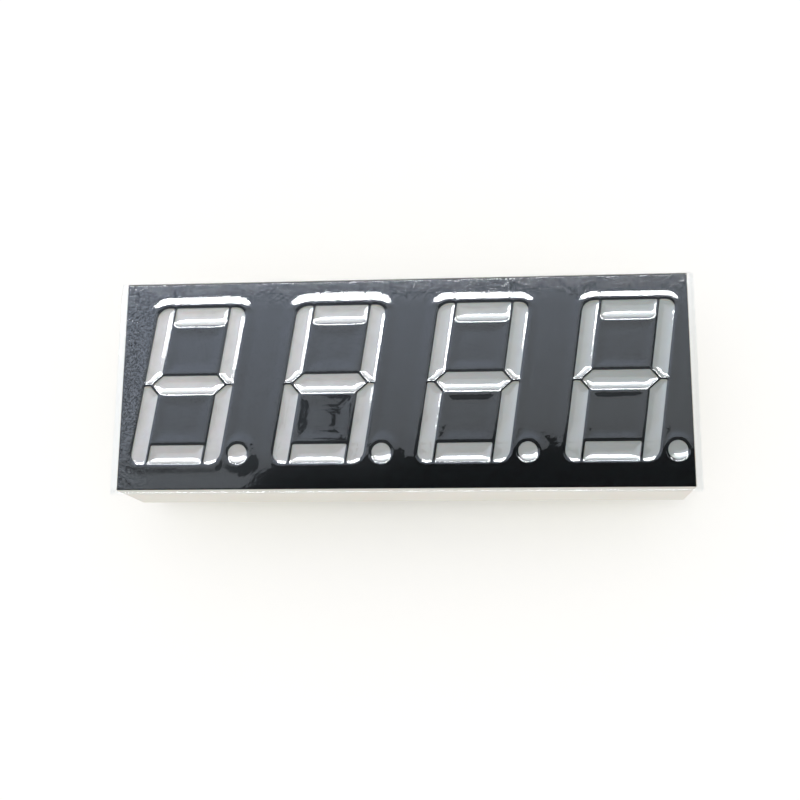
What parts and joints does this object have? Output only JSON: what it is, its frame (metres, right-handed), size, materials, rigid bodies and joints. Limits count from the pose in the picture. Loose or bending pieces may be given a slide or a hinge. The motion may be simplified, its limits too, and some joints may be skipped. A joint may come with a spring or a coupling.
{
  "type": "seven segment display module",
  "caption": "Four-digit seven segment light display with decimal points, slanted digits, a black face under clear film and two rows of pins.",
  "frame": {"origin": "middle of the pin field, on the plane of the housing's back rim", "axes": "+X along the row of digits to the right, +Y to the digits' tops, +Z out of the face"},
  "size_m": [0.0514, 0.0194, 0.0141],
  "materials": {
    "housing_plastic": "satin cream-white moulding with a printed gloss black face",
    "clear_film": "glossy clear film",
    "milky_epoxy": "glossy milky epoxy",
    "clear_epoxy": "glossy cloudy epoxy",
    "board_laminate": "glass-fibre laminate with copper tracks",
    "solder": "bright tin solder",
    "tinned_pin": "bright tin plate",
    "light_chip": "sawn semiconductor",
    "gold_wire": "drawn gold"
  },
  "bodies": {
    "root": {"housing": "housing_plastic", "protective_film": "clear_film", "circuit_board": "board_laminate", "back_potting": "clear_epoxy", "solder_joints": "solder", "pin_1": "tinned_pin", "pin_2": "tinned_pin", "pin_3": "tinned_pin", "pin_4": "tinned_pin", "pin_5": "tinned_pin", "pin_6": "tinned_pin", "pin_7": "tinned_pin", "pin_8": "tinned_pin", "pin_9": "tinned_pin", "pin_10": "tinned_pin", "pin_11": "tinned_pin", "pin_12": "tinned_pin", "digit1_segment_a": "milky_epoxy", "digit1_segment_b": "milky_epoxy", "digit1_segment_c": "milky_epoxy", "digit1_segment_d": "milky_epoxy", "digit1_segment_e": "milky_epoxy", "digit1_segment_f": "milky_epoxy", "digit1_segment_g": "milky_epoxy", "digit2_segment_a": "milky_epoxy", "digit2_segment_b": "milky_epoxy", "digit2_segment_c": "milky_epoxy", "digit2_segment_d": "milky_epoxy", "digit2_segment_e": "milky_epoxy", "digit2_segment_f": "milky_epoxy", "digit2_segment_g": "milky_epoxy", "digit3_segment_a": "milky_epoxy", "digit3_segment_b": "milky_epoxy", "digit3_segment_c": "milky_epoxy", "digit3_segment_d": "milky_epoxy", "digit3_segment_e": "milky_epoxy", "digit3_segment_f": "milky_epoxy", "digit3_segment_g": "milky_epoxy", "digit4_segment_a": "milky_epoxy", "digit4_segment_b": "milky_epoxy", "digit4_segment_c": "milky_epoxy", "digit4_segment_d": "milky_epoxy", "digit4_segment_e": "milky_epoxy", "digit4_segment_f": "milky_epoxy", "digit4_segment_g": "milky_epoxy", "digit1_decimal_point": "milky_epoxy", "digit1_led_dies": "light_chip", "digit1_bond_wires": "gold_wire", "digit2_decimal_point": "milky_epoxy", "digit2_led_dies": "light_chip", "digit2_bond_wires": "gold_wire", "digit3_decimal_point": "milky_epoxy", "digit3_led_dies": "light_chip", "digit3_bond_wires": "gold_wire", "digit4_decimal_point": "milky_epoxy", "digit4_led_dies": "light_chip", "digit4_bond_wires": "gold_wire"}
  },
  "joints": []
}
